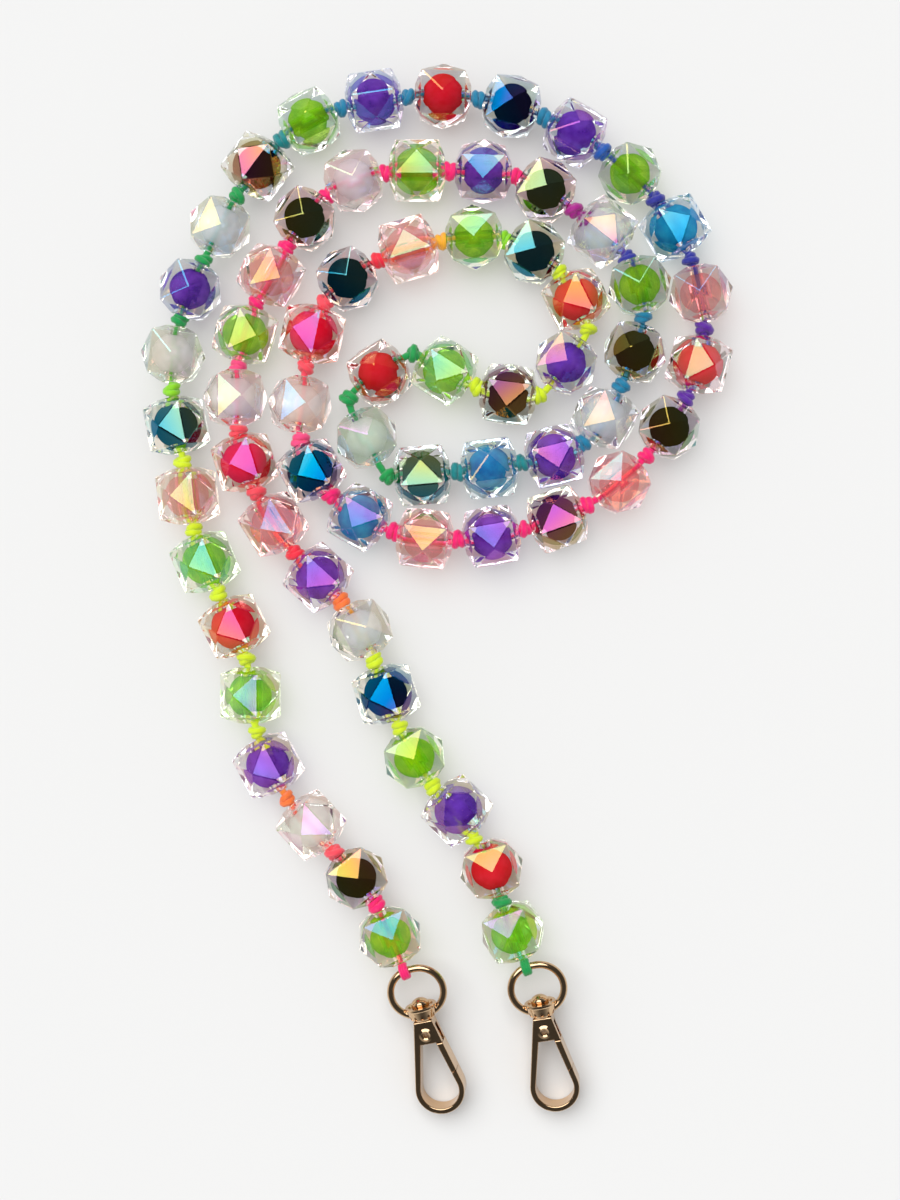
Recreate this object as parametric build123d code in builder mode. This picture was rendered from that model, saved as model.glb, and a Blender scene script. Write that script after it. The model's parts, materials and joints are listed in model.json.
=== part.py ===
from build123d import *
from math import asin, atan2, cos, degrees, radians, sin, tan
import os

# A beaded strap laid flat in two coils: faceted beads on a knotted cord, a swivel snap hook at each
# end. Millimetres, +Z up, origin under the middle of the strap on the surface it lies on.

# ---------------------------------------------------------------- driving dimensions
# A bead is a cube with a low pyramid on every face, its two strung ends cut flat.
CUBE = 10.8
PYRAMID = CUBE / 4
APEX_REACH = CUBE / 2 + PYRAMID
EDGE_REACH = CUBE / 2 * 2 ** 0.5
BEAD_LENGTH = 13.8
BORE_R = 1.5
MOUTH_R = 2.3
MOUTH_DEPTH = 1.0
CAVITY_R = 4.3
CORE_R = 4.15

CORD_R = 0.85
CORD_HEIGHT = 7.8
KNOT_R = 2.0
# Length of cord on each side of a knot that a bend takes: it is straight inside the beads.
BEND_REACH = 3.0
# Gap between a moving tail's cord and the round knot it turns on.
KNOT_CLEARANCE = 0.1

# The knots, from the left hook to the right hook, one between each pair of beads.
KNOTS = [
    (-15, -77.5), (-25, -64.5), (-37, -51.5), (-46, -35), (-46, -17),
    (-54, -1), (-60.5, 14.75), (-62.5, 31.75), (-66, 49.5), (-64, 66.5), (-57.5, 81.5),
    (-49.5, 97.5), (-39, 111.5), (-24, 119.5), (-7, 122), (10, 121.5), (26.75, 117),
    (41.25, 108.25), (54.25, 97), (63.25, 81.75), (67, 64.25), (62.25, 47.25), (52.25, 32.75),
    (37.5, 20.25), (22, 14.75), (5, 11.75), (-11, 13.5), (-27, 22.5), (-35, 36.5),
    (-32.5, 55), (-29, 71.5), (-15, 81.75), (1, 86.5), (17.25, 87.5), (30.75, 79),
    (38, 64.5), (25.5, 47.25), (9.75, 49.25), (-5.75, 59), (-22.5, 47.5), (-12.25, 27.5),
    (5, 29), (21, 31), (37, 35), (45.75, 50), (52, 67.25), (48, 82.75),
    (33.75, 94), (19.75, 103), (3.25, 103.5), (-13, 103.5), (-28, 98.25), (-37, 84.75),
    (-45, 70.75), (-49.75, 55.5), (-49.75, 39.25), (-45, 23.75), (-35.5, 8.75), (-23, -2.5),
    (-15, -17.5), (-10, -34), (-1, -48.5), (11, -60.5), (16, -77),
]
# Where the cord loops round each hook's ring.
LEFT_LOOP = (-8.0, -94)
RIGHT_LOOP = (22.0, -93)
LOOP_HEIGHT = 8.35

# Each bead's core colour and its roll: degrees from a ridge point straight up, right-hand side of
# the way along the cord positive. About 27 puts a flat facet up, 45 a long edge.
BEADS = [
    ("green", 8), ("black", 8), ("white", -21), ("purple", -29), ("green", -28), ("red", -31),
    ("green", -27), ("pink", -28), ("black", -28), ("white", 2), ("purple", 3), ("white", 8),
    ("black", 45), ("green", -7), ("purple", 40), ("red", 0), ("black", -3), ("purple", -12),
    ("green", 12), ("blue", -28), ("pink", 8), ("red", -25), ("black", 5), ("pink", 0),
    ("black", 26), ("purple", -24), ("pink", -24), ("blue", -25), ("black", -25), ("white", 14),
    ("red", -34), ("black", 0), ("pink", -30), ("green", 6), ("black", 0), ("red", 28),
    ("purple", 0), ("black", -26), ("green", -29), ("red", 15), ("white", -5), ("black", -25),
    ("blue", -22), ("purple", 26), ("white", 18), ("black", -12), ("green", -4), ("white", 35),
    ("black", 0), ("purple", -22), ("green", 30), ("white", 0), ("black", 0), ("pink", -26),
    ("green", -28), ("white", -15), ("red", 24), ("pink", 22), ("purple", 27), ("white", -15),
    ("black", 31), ("green", 0), ("purple", 33), ("red", 0), ("green", 10),
]
# Beads at each end that hang free of the coils and turn on their own.
TAIL_BEADS = 3
# Gap between each ring's wire and the end of the bead beside it.
END_GAP = 2.3

# Swivel snap hook, along its own length V from the collar's lower face, U across, N through.
HOOK_DEPTH = 5.2
COLLAR_HEIGHT = 3.4
COLLAR_TOP_R = 4.0
COLLAR_FOOT_R = 2.9
COLLAR_BAND = 0.55
COLLAR_EDGE = 0.15
FOOT_BAND = 0.45
FOOT_FLARE = 0.25
RIM_INNER_R = 3.1
RIM_SLOPE = 0.2
RIM_DEPTH = 0.5
FLUTE_COUNT = 12
FLUTE_R = 0.35
PIN_R = 1.13
PIN_BORE_R = 1.2
SWIVEL_GAP = 0.12
HEAD_R = 2.2
HEAD_HEIGHT = 2.3
HEAD_WALL = 1.1
PIN_ROOT = 1.6
RING_WIRE_R = 0.9
RING_ARC_R = 6.0
RING_SPREAD = 0.55
RING_CENTRE_V = 6.85
RING_FOOT_ANGLE = 70
LOOP_ANGLE = 12
RIVET_V = -3.7
RIVET_R = 1.75
RIVET_SHANK_R = 1.0
RIVET_HOLE_R = 0.75
RIVET_LIP = 0.25
RIVET_CROWN = 0.15
HUB_BORE_R = 1.06
HUB_R = 1.9
HUB_BACK = 1.05
HUB_THICK = 1.4
HUB_CLEARANCE = 0.15
ARM_INSIDE = 2.3
ARM_OUTSIDE = 3.2
ARM_SHOULDER = 1.75
ARM_OVERLAP = (0.9, 1.2)
SLOT_HALF = 1.15
PLATE_HALF_W = 2.3
WINDOW_TOP_V = -6.1
WINDOW_HALF_W = 1.95
BIGHT_V = -18.4
BIGHT_R = 6.1
BIGHT_INNER_R = 4.75
GATE_REACH = 11.6
GATE_TOP_GAP = 0.2
GATE_TIP_GAP = 0.15
HOOK_EDGE_R = 0.3
SPRING_R = 1.5
SPRING_WIRE_R = 0.15
SPRING_PITCH = 0.28
SPRING_SEAT = 0.58

# Loop of cord round the ring wire: two turns side by side, with the cord's end let into them.
LOOP_TUBE_R = 0.55
LOOP_INNER_R = 1.05
LOOP_SPACING = 0.52
CORD_END_GAP = 1.25

# Each hook lies with its ring raised by the bead it hangs from, a little rolled to one side.
LEFT_HOOK = {"heading": 103.7, "tilt": 8.6, "hook_roll": 9.0, "ring_roll": 4.0}
RIGHT_HOOK = {"heading": 100.5, "tilt": 8.6, "hook_roll": 6.0, "ring_roll": 2.0}


def flat_vector(degrees_from_x):
    """Level unit vector at an angle from +X."""
    return Vector(cos(radians(degrees_from_x)), sin(radians(degrees_from_x)), 0)


def level_point(xy, height):
    """A plan point lifted to a height."""
    return Vector(xy[0], xy[1], height)


# ---------------------------------------------------------------- where the beads lie
CORD_POINTS = [LEFT_LOOP] + KNOTS + [RIGHT_LOOP]
END_BEAD_SHIFT = BEAD_LENGTH / 2 + END_GAP


def rest_height(roll):
    """Height of a bead's axis when it rolls to this angle on a flat surface."""
    from_apex = (roll + 45) % 90 - 45
    from_edge = 45 - abs(from_apex)
    return max(APEX_REACH * cos(radians(from_apex)), EDGE_REACH * cos(radians(from_edge)))


def bead_plane(index):
    """Plane at a bead's centre: X along the cord, Z to a ridge point."""
    start = Vector(*CORD_POINTS[index], 0)
    end = Vector(*CORD_POINTS[index + 1], 0)
    along = (end - start).normalized()
    centre = (start + end) / 2
    if index == 0:
        centre = start + along * END_BEAD_SHIFT
    if index == len(BEADS) - 1:
        centre = end - along * END_BEAD_SHIFT
    roll = BEADS[index][1]
    right = Vector(along.Y, -along.X, 0)
    up = Vector(0, 0, 1) * cos(radians(roll)) + right * sin(radians(roll))
    return Plane(origin=centre + Vector(0, 0, rest_height(roll)), x_dir=along, z_dir=up)


def make_bead_shell():
    """Clear bead: the solid shared by three crossed eight-sided prisms, hollow for its core and bore."""
    outline = [(0, APEX_REACH), (CUBE / 2, CUBE / 2), (APEX_REACH, 0), (CUBE / 2, -CUBE / 2)]
    outline += [(-across, -along) for across, along in outline]
    half = BEAD_LENGTH / 2
    flare = MOUTH_R - BORE_R
    cavity_end = (CAVITY_R ** 2 - BORE_R ** 2) ** 0.5
    cavity_angle = degrees(asin(BORE_R / CAVITY_R))
    with BuildPart() as shell:
        with BuildSketch(Plane.YZ):
            Polygon(*outline, align=None)
        extrude(amount=half, both=True)
        for face in (Plane.XZ, Plane.XY):
            with BuildSketch(face):
                Polygon(*outline, align=None)
            extrude(amount=2 * CUBE, both=True, mode=Mode.INTERSECT)
        with BuildSketch(Plane.XY):
            with BuildLine():
                Polyline((-cavity_end, BORE_R), (-half + MOUTH_DEPTH, BORE_R),
                         (-half - MOUTH_DEPTH, MOUTH_R + flare), (-half - MOUTH_DEPTH, 0),
                         (half + MOUTH_DEPTH, 0), (half + MOUTH_DEPTH, MOUTH_R + flare),
                         (half - MOUTH_DEPTH, BORE_R), (cavity_end, BORE_R))
                CenterArc((0, 0), CAVITY_R, cavity_angle, 180 - 2 * cavity_angle)
            make_face()
        revolve(axis=Axis.X, mode=Mode.SUBTRACT)
    return shell.part


def make_bead_core():
    """Coloured ball inside a bead, bored with it."""
    bore_angle = degrees(asin(BORE_R / CORE_R))
    bore_end = (CORE_R ** 2 - BORE_R ** 2) ** 0.5
    with BuildPart() as core:
        with BuildSketch(Plane.XY):
            with BuildLine():
                CenterArc((0, 0), CORE_R, bore_angle, 180 - 2 * bore_angle)
                Line((-bore_end, BORE_R), (bore_end, BORE_R))
            make_face()
        revolve(axis=Axis.X)
    return core.part


def write_node(part, name):
    """Label a finished piece and write its file."""
    part.label = name
    export_step(part, f"parts/{name}.step")


def write_copies(piece, places, name):
    """One node that holds a copy of a piece at each place."""
    with BuildPart() as group:
        with Locations(*places):
            add(piece, clean=False)
    write_node(group.part, name)


# ---------------------------------------------------------------- cord and knots
def cord_tube(points, name, cuts=()):
    """Round cord along straight runs joined by arcs, its ends hollowed round the knots in cuts."""
    radii = []
    for before, corner, after in zip(points, points[1:], points[2:]):
        turn = (corner - before).get_angle(after - corner)
        radii.append(BEND_REACH / tan(radians(turn) / 2))
    with BuildPart() as cord:
        with BuildLine() as path:
            if radii:
                FilletPolyline(*points, radius=radii)
            else:
                Line(*points)
        with BuildSketch(Plane(origin=points[0], z_dir=points[1] - points[0])):
            Circle(CORD_R)
        sweep(path=path.wire())
        for knot in cuts:
            with Locations(knot):
                Sphere(KNOT_R + KNOT_CLEARANCE, mode=Mode.SUBTRACT)
    length = path.wire().length
    print(name, "cord length", round(length, 1), "smallest bend", round(min(radii, default=0), 1))
    write_node(cord.part, name)


def write_knots(centres, name):
    """Round knots on the cord."""
    with BuildPart() as knots:
        with Locations(*centres):
            Sphere(KNOT_R)
    write_node(knots.part, name)


# ---------------------------------------------------------------- swivel snap hook
def hook_plane(loop, heading, tilt, roll, ring_roll):
    """Plane at the collar's foot, X across the hook and Y towards the ring, set so that the ring
    wire passes through the cord loop."""
    lengthways = flat_vector(heading) * cos(radians(tilt)) + Vector(0, 0, sin(radians(tilt)))
    level_right = flat_vector(heading - 90)
    normal = level_right.cross(lengthways)
    ring_across = level_right * cos(radians(ring_roll)) + normal * sin(radians(ring_roll))
    across = level_right * cos(radians(roll)) + normal * sin(radians(roll))
    loop_u = -RING_SPREAD - RING_ARC_R * sin(radians(LOOP_ANGLE))
    loop_v = RING_CENTRE_V + RING_ARC_R * cos(radians(LOOP_ANGLE))
    origin = loop - ring_across * loop_u - lengthways * loop_v
    return Plane(origin=origin, x_dir=across, z_dir=across.cross(lengthways))


def make_eye(plane, name):
    """Ring of round wire cast in one with the fluted collar that turns on the swivel pin."""
    axis = Axis(plane.origin, plane.y_dir)
    with BuildPart() as eye:
        with BuildSketch(plane):
            with BuildLine():
                Polyline(
                    (PIN_BORE_R, 0), (COLLAR_FOOT_R, 0), (COLLAR_FOOT_R + FOOT_FLARE, FOOT_BAND),
                    (COLLAR_TOP_R - COLLAR_EDGE, COLLAR_HEIGHT - COLLAR_BAND - FOOT_FLARE),
                    (COLLAR_TOP_R, COLLAR_HEIGHT - COLLAR_BAND), (COLLAR_TOP_R, COLLAR_HEIGHT - COLLAR_EDGE),
                    (COLLAR_TOP_R - COLLAR_EDGE, COLLAR_HEIGHT), (RIM_INNER_R, COLLAR_HEIGHT),
                    (RIM_INNER_R - RIM_SLOPE, COLLAR_HEIGHT - RIM_DEPTH),
                    (PIN_BORE_R, COLLAR_HEIGHT - RIM_DEPTH), close=True)
            make_face()
        revolve(axis=axis)
        foot = Plane(origin=plane.origin, x_dir=plane.x_dir, z_dir=plane.y_dir)
        with BuildSketch(foot.offset(FOOT_BAND)):
            with PolarLocations(COLLAR_FOOT_R + FOOT_FLARE, FLUTE_COUNT):
                Circle(FLUTE_R)
        extrude(amount=COLLAR_HEIGHT - 2 * FOOT_BAND - COLLAR_BAND, mode=Mode.SUBTRACT)
        with BuildLine(plane) as wire:
            CenterArc((RING_SPREAD, RING_CENTRE_V), RING_ARC_R, -RING_FOOT_ANGLE, 90 + RING_FOOT_ANGLE)
            Line((RING_SPREAD, RING_CENTRE_V + RING_ARC_R), (-RING_SPREAD, RING_CENTRE_V + RING_ARC_R))
            CenterArc((-RING_SPREAD, RING_CENTRE_V), RING_ARC_R, 90, 90 + RING_FOOT_ANGLE)
        with BuildSketch(Plane(origin=wire.line @ 0, z_dir=wire.line % 0)):
            Circle(RING_WIRE_R)
        sweep(path=wire.wire())
        with BuildSketch(foot.offset(-1)):
            Circle(PIN_BORE_R)
        extrude(amount=COLLAR_HEIGHT + 1 - RIM_DEPTH, mode=Mode.SUBTRACT)
    write_node(eye.part, name)


def make_swivel_pin(plane, name):
    """Headed pin, riveted into the hook, that the eye turns on."""
    seat = COLLAR_HEIGHT - RIM_DEPTH + SWIVEL_GAP
    rise = HEAD_HEIGHT - HEAD_WALL
    dome_r = (HEAD_R ** 2 + rise ** 2) / (2 * rise)
    dome_angle = degrees(asin(HEAD_R / dome_r))
    with BuildPart() as pin:
        with BuildSketch(plane):
            with BuildLine():
                Line((0, -PIN_ROOT), (PIN_R, -PIN_ROOT))
                Line((PIN_R, -PIN_ROOT), (PIN_R, seat))
                Line((PIN_R, seat), (HEAD_R, seat))
                Line((HEAD_R, seat), (HEAD_R, seat + HEAD_WALL))
                CenterArc((0, seat + HEAD_HEIGHT - dome_r), dome_r, 90 - dome_angle, dome_angle)
                Line((0, seat + HEAD_HEIGHT), (0, -PIN_ROOT))
            make_face()
        revolve(axis=Axis(plane.origin, plane.y_dir))
    write_node(pin.part, name)


def frame_outline(half_top, top_v, radius):
    """Closed wire of a teardrop: two tangent sides and the round bight, as builder lines."""
    reach = top_v - BIGHT_V
    span = (half_top ** 2 + reach ** 2) ** 0.5
    corner_angle = atan2(reach, half_top)
    touch_angle = corner_angle - radians(90) + asin(radius / span)
    touch = (radius * cos(touch_angle), BIGHT_V + radius * sin(touch_angle))
    mirrored = (-touch[0], touch[1])
    Line((-half_top, top_v), (half_top, top_v))
    Line((half_top, top_v), touch)
    ThreePointArc(touch, (0, BIGHT_V - radius), mirrored)
    Line(mirrored, (-half_top, top_v))


def gate_zone(top_v, tip_r):
    """Part of the frame's right side that the gate fills: below top_v and nearer than tip_r to the
    rivet."""
    with Locations((0, RIVET_V)):
        Circle(tip_r)
    with Locations((0, top_v)):
        Rectangle(4 * GATE_REACH, 4 * GATE_REACH, align=(Align.CENTER, Align.MIN), mode=Mode.SUBTRACT)
    Rectangle(GATE_REACH, 4 * GATE_REACH, align=(Align.MAX, Align.CENTER), mode=Mode.SUBTRACT)


def make_hook(plane, name):
    """Teardrop hook with a slotted plate at its top for the gate's hub and spring."""
    with BuildPart() as hook:
        with BuildSketch(plane):
            with BuildLine():
                frame_outline(PLATE_HALF_W, -SWIVEL_GAP, BIGHT_R)
            make_face()
            with BuildLine():
                frame_outline(WINDOW_HALF_W, WINDOW_TOP_V, BIGHT_INNER_R)
            make_face(mode=Mode.SUBTRACT)
        extrude(amount=HOOK_DEPTH / 2, both=True)
        rims = hook.edges().filter_by(lambda edge: abs(abs(plane.to_local_coords(edge.center()).Z)
                                                       - HOOK_DEPTH / 2) < 0.01)
        fillet(rims, HOOK_EDGE_R)
        with BuildSketch(plane) as gate_room:
            gate_zone(WINDOW_TOP_V, GATE_REACH)
        extrude(amount=HOOK_DEPTH, both=True, mode=Mode.SUBTRACT)
        with BuildSketch(plane) as slot:
            with Locations((-HUB_R - HUB_CLEARANCE, RIVET_V + HUB_R + HUB_CLEARANCE)):
                Rectangle(BIGHT_R * 2, BIGHT_R, align=(Align.MIN, Align.MAX))
        extrude(amount=SLOT_HALF, both=True, mode=Mode.SUBTRACT)
        with BuildSketch(plane) as rivet_hole:
            with Locations((0, RIVET_V)):
                Circle(RIVET_SHANK_R)
        extrude(amount=HOOK_DEPTH, both=True, mode=Mode.SUBTRACT)
        with BuildSketch(Plane(origin=plane.origin, x_dir=plane.x_dir, z_dir=plane.y_dir)):
            Circle(PIN_R)
        extrude(amount=-PIN_ROOT, mode=Mode.SUBTRACT)
    write_node(hook.part, name)


def make_gate(plane, name):
    """Sprung arm that closes the hook's right side, with a hub on the rivet."""
    with BuildPart() as gate:
        with BuildSketch(plane):
            with BuildLine():
                frame_outline(PLATE_HALF_W, -SWIVEL_GAP, BIGHT_R)
            make_face()
            with BuildLine():
                frame_outline(WINDOW_HALF_W, WINDOW_TOP_V, BIGHT_INNER_R)
            make_face(mode=Mode.SUBTRACT)
            with BuildSketch(plane, mode=Mode.PRIVATE) as zone:
                gate_zone(WINDOW_TOP_V - GATE_TOP_GAP, GATE_REACH - GATE_TIP_GAP)
            add(zone.sketch_local, mode=Mode.INTERSECT)
        extrude(amount=HOOK_DEPTH / 2, both=True)
        rims = gate.edges().filter_by(lambda edge: abs(abs(plane.to_local_coords(edge.center()).Z)
                                                       - HOOK_DEPTH / 2) < 0.01)
        fillet(rims, HOOK_EDGE_R)
        with BuildSketch(plane.offset(-HUB_BACK)):
            with Locations((0, RIVET_V)):
                Circle(HUB_R)
            with BuildLine():
                Polyline((0, RIVET_V + HUB_R), (ARM_SHOULDER, RIVET_V + HUB_R / 3),
                         (ARM_OUTSIDE, WINDOW_TOP_V - ARM_OVERLAP[0]),
                         (ARM_INSIDE, WINDOW_TOP_V - ARM_OVERLAP[1]), (0, RIVET_V - HUB_R), close=True)
            make_face()
        extrude(amount=HUB_THICK)
        with BuildSketch(plane):
            with Locations((0, RIVET_V)):
                Circle(HUB_BORE_R)
        extrude(amount=HOOK_DEPTH, both=True, mode=Mode.SUBTRACT)
    write_node(gate.part, name)


def make_rivet(plane, name):
    """Hollow rivet through the plate, its two ends rolled over."""
    centre = plane.from_local_coords(Vector(0, RIVET_V, 0))
    across = Plane(origin=centre, x_dir=plane.x_dir, z_dir=-plane.y_dir)
    lip = HOOK_DEPTH / 2
    with BuildPart() as rivet:
        with BuildSketch(across):
            with BuildLine():
                Polyline((RIVET_HOLE_R, -lip), (RIVET_SHANK_R + RIVET_CROWN, -lip - RIVET_LIP), (RIVET_R, -lip),
                         (RIVET_SHANK_R, -lip), (RIVET_SHANK_R, lip), (RIVET_R, lip),
                         (RIVET_SHANK_R + RIVET_CROWN, lip + RIVET_LIP), (RIVET_HOLE_R, lip), close=True)
            make_face()
        revolve(axis=Axis(centre, plane.z_dir))
    write_node(rivet.part, name)


def make_spring(plane, name):
    """Coil round the rivet beside the gate's hub: two turns of wire."""
    centre = plane.from_local_coords(Vector(0, RIVET_V, 0))
    across = Plane(origin=centre, x_dir=plane.x_dir, z_dir=-plane.y_dir)
    with BuildPart() as spring:
        for turn in (0, 1):
            with BuildSketch(across):
                with Locations((SPRING_R, SPRING_SEAT + SPRING_PITCH * turn)):
                    Circle(SPRING_WIRE_R)
            revolve(axis=Axis(centre, plane.z_dir))
    write_node(spring.part, name)


def make_loop(centre, plane, name):
    """Two turns of cord round the ring wire."""
    tangent = plane.x_dir * cos(radians(LOOP_ANGLE)) + plane.y_dir * sin(radians(LOOP_ANGLE))
    with BuildPart() as loop:
        for side in (-1, 1):
            middle = centre + tangent * side * LOOP_SPACING
            section = Plane(origin=middle, x_dir=plane.z_dir, z_dir=tangent.cross(plane.z_dir))
            with BuildSketch(section):
                with Locations((LOOP_INNER_R + LOOP_TUBE_R, 0)):
                    Circle(LOOP_TUBE_R)
            revolve(axis=Axis(middle, tangent))
    write_node(loop.part, name)
    return tangent


# ---------------------------------------------------------------- build everything
os.makedirs("parts", exist_ok=True)
bead_shell = make_bead_shell()
bead_core = make_bead_core()
bead_places = [bead_plane(index).location for index in range(len(BEADS))]
coil_beads = range(TAIL_BEADS, len(BEADS) - TAIL_BEADS)

for colour in sorted({colour for colour, roll in BEADS}):
    places = [bead_places[index] for index in coil_beads if BEADS[index][0] == colour]
    write_copies(bead_shell, places, f"clear_shells_{colour}")
    write_copies(bead_core, places, f"cores_{colour}")

points = [level_point(LEFT_LOOP, LOOP_HEIGHT)]
points += [level_point(knot, CORD_HEIGHT) for knot in KNOTS]
points += [level_point(RIGHT_LOOP, LOOP_HEIGHT)]
first_knot = TAIL_BEADS
last_knot = len(BEADS) - TAIL_BEADS
cord_tube(points[first_knot:last_knot + 1], "strand_cord")
write_knots(points[first_knot:last_knot + 1], "strand_knots")

for side, lie in (("left", LEFT_HOOK), ("right", RIGHT_HOOK)):
    chain = points if side == "left" else points[::-1]
    beads = range(TAIL_BEADS) if side == "left" else range(len(BEADS) - 1, last_knot - 1, -1)
    for number, index in enumerate(beads, start=1):
        colour = BEADS[index][0]
        write_copies(bead_shell, [bead_places[index]], f"{side}_bead_{number}_shell")
        write_copies(bead_core, [bead_places[index]], f"{side}_bead_{number}_core")
    loop, lower, middle, upper = chain[:TAIL_BEADS + 1]
    cord_end = loop + (lower - loop).normalized() * CORD_END_GAP
    cord_tube([upper, middle, lower], f"{side}_upper_cord", cuts=[upper])
    cord_tube([lower, cord_end], f"{side}_lower_cord", cuts=[lower])
    write_knots([middle, lower], f"{side}_upper_knots")
    eye_plane = hook_plane(loop, lie["heading"], lie["tilt"], lie["ring_roll"], lie["ring_roll"])
    plane = hook_plane(loop, lie["heading"], lie["tilt"], lie["hook_roll"], lie["ring_roll"])
    tangent = make_loop(loop, eye_plane, f"{side}_end_loop")
    make_eye(eye_plane, f"{side}_eye")
    make_swivel_pin(plane, f"{side}_swivel_pin")
    make_hook(plane, f"{side}_hook")
    make_gate(plane, f"{side}_gate")
    make_rivet(plane, f"{side}_gate_rivet")
    make_spring(plane, f"{side}_gate_spring")
    rivet = plane.from_local_coords(Vector(0, RIVET_V, 0))
    print(side, "upper joint", tuple(upper), "lower joint", tuple(lower))
    print(side, "loop", tuple(loop), "swing axis", tuple(tangent))
    print(side, "swivel", tuple(plane.origin), "axis", tuple(plane.y_dir))
    print(side, "rivet", tuple(rivet), "axis", tuple(plane.z_dir))
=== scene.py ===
# %% [markdown]
# # A beaded strap on a knotted rainbow cord
# The strap is a row of 65 clear faceted beads, each moulded round a coloured ball and coated with a film
# that shines in rainbow colours. They are strung on one dyed cord with a knot between each two, and a
# swivel snap hook hangs at each end. The frame loaded here holds the real shapes and the joints: the
# hooks keep its meshes, and the beads, knots and cord are made again in finer form around it.

# %% The frame
import json
import bmesh
import bpy
import numpy as np
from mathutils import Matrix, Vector


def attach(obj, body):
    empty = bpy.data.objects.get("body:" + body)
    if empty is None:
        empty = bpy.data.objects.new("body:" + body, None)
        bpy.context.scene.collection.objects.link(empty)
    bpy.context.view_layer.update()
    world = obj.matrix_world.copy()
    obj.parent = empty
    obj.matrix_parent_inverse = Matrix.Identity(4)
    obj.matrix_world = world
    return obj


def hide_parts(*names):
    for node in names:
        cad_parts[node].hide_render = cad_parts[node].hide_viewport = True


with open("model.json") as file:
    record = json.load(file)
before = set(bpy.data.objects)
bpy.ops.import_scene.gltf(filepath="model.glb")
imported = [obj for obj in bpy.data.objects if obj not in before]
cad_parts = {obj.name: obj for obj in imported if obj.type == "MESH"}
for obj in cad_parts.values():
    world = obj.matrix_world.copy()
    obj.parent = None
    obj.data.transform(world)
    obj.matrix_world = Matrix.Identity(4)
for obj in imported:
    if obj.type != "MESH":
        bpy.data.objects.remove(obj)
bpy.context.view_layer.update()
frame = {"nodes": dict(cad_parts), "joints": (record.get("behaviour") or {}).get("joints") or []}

MM = 0.001
collection = bpy.context.scene.collection

# %% [markdown]
# ## The camera
# The strap lies flat and is looked at from straight above. A camera with no rotation looks down -Z with
# +Y at the top of the picture, so it only needs a place and an opening angle.

# %% The camera
CAMERA_PLACE = (3.25 * MM, -2.5 * MM, 600 * MM)
PICTURE_HEIGHT = 300 * MM

camera_data = bpy.data.cameras.new("camera")
camera_data.sensor_fit = "VERTICAL"
camera_data.angle = 2 * np.arctan(PICTURE_HEIGHT / 2 / CAMERA_PLACE[2])
camera = bpy.data.objects.new("camera", camera_data)
camera.location = CAMERA_PLACE
collection.objects.link(camera)
bpy.context.scene.camera = camera
print("camera opens", round(float(np.degrees(camera_data.angle)), 2), "degrees")

# %% [markdown]
# ## The route of the cord
# A cord can be drawn as a spline with its control points at the knots. A NURBS spline of order 3 passes
# through the middle of each run and lies along it there, which is just where a bead holds the cord
# straight, so it suits a strung cord better than a curve that passes through the points. Where the strap
# turns sharply at one knot, two points stand for it, and the bend stays inside the knot's gap.

# %% The route of the cord
CORD_HEIGHT = 7.8
LOOP_HEIGHT = 8.35
CORD_R = 0.85 * MM
LEFT_LOOP = (-8, -94)
RIGHT_LOOP = (22, -93)
KNOTS = [
    (-15, -77.5), (-25, -64.5), (-37, -51.5), (-46, -35), (-46, -17),
    (-54, -1), (-60.5, 14.75), (-62.5, 31.75), (-66, 49.5), (-64, 66.5), (-57.5, 81.5),
    (-49.5, 97.5), (-39, 111.5), (-24, 119.5), (-7, 122), (10, 121.5), (26.75, 117),
    (41.25, 108.25), (54.25, 97), (63.25, 81.75), (67, 64.25), (62.25, 47.25), (52.25, 32.75),
    (37.5, 20.25), (22, 14.75), (5, 11.75), (-11, 13.5), (-27, 22.5), (-35, 36.5),
    (-32.5, 55), (-29, 71.5), (-15, 81.75), (1, 86.5), (17.25, 87.5), (30.75, 79),
    (38, 64.5), (25.5, 47.25), (9.75, 49.25), (-5.75, 59), (-22.5, 47.5), (-12.25, 27.5),
    (5, 29), (21, 31), (37, 35), (45.75, 50), (52, 67.25), (48, 82.75),
    (33.75, 94), (19.75, 103), (3.25, 103.5), (-13, 103.5), (-28, 98.25), (-37, 84.75),
    (-45, 70.75), (-49.75, 55.5), (-49.75, 39.25), (-45, 23.75), (-35.5, 8.75), (-23, -2.5),
    (-15, -17.5), (-10, -34), (-1, -48.5), (11, -60.5), (16, -77),
]
SHARP_TURNS = {
    (38, 64.5): [(37.4, 66.4), (37.2, 62.6)],
    (25.5, 47.25): [(27.2, 49.0), (23.6, 47.2)],
    (-5.75, 59): [(-4.0, 58.4), (-7.4, 58.2)],
    (-22.5, 47.5): [(-21.4, 48.9), (-22.1, 45.6)],
    (-12.25, 27.5): [(-13.4, 28.7), (-10.6, 27.4)],
}
TAIL_BEADS = 3
ROUTE_STEPS = 24


def lift(points, height=CORD_HEIGHT):
    """Plan points in millimetres to points in metres at one height."""
    return np.array([(x, y, height) for x, y in points]) * MM


def control_points(points):
    """The route's points, with two for each knot where the strap turns sharply."""
    spread = []
    for point in points:
        spread += SHARP_TURNS.get(point, [point])
    return lift(spread)


def spline_path(points):
    """Points along the NURBS spline with these control points, from a curve with no thickness."""
    line = bpy.data.curves.new("route", "CURVE")
    line.dimensions = "3D"
    line.resolution_u = ROUTE_STEPS
    spline = line.splines.new("NURBS")
    spline.points.add(len(points) - 1)
    spline.points.foreach_set("co", np.column_stack([points, np.ones(len(points))]).ravel())
    spline.order_u = 3
    spline.use_endpoint_u = True
    holder = bpy.data.objects.new("route", line)
    mesh = bpy.data.meshes.new_from_object(holder)
    path = np.empty(len(mesh.vertices) * 3, np.float32)
    mesh.vertices.foreach_get("co", path)
    bpy.data.objects.remove(holder)
    bpy.data.curves.remove(line)
    bpy.data.meshes.remove(mesh)
    return path.reshape(-1, 3).astype(float)


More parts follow.
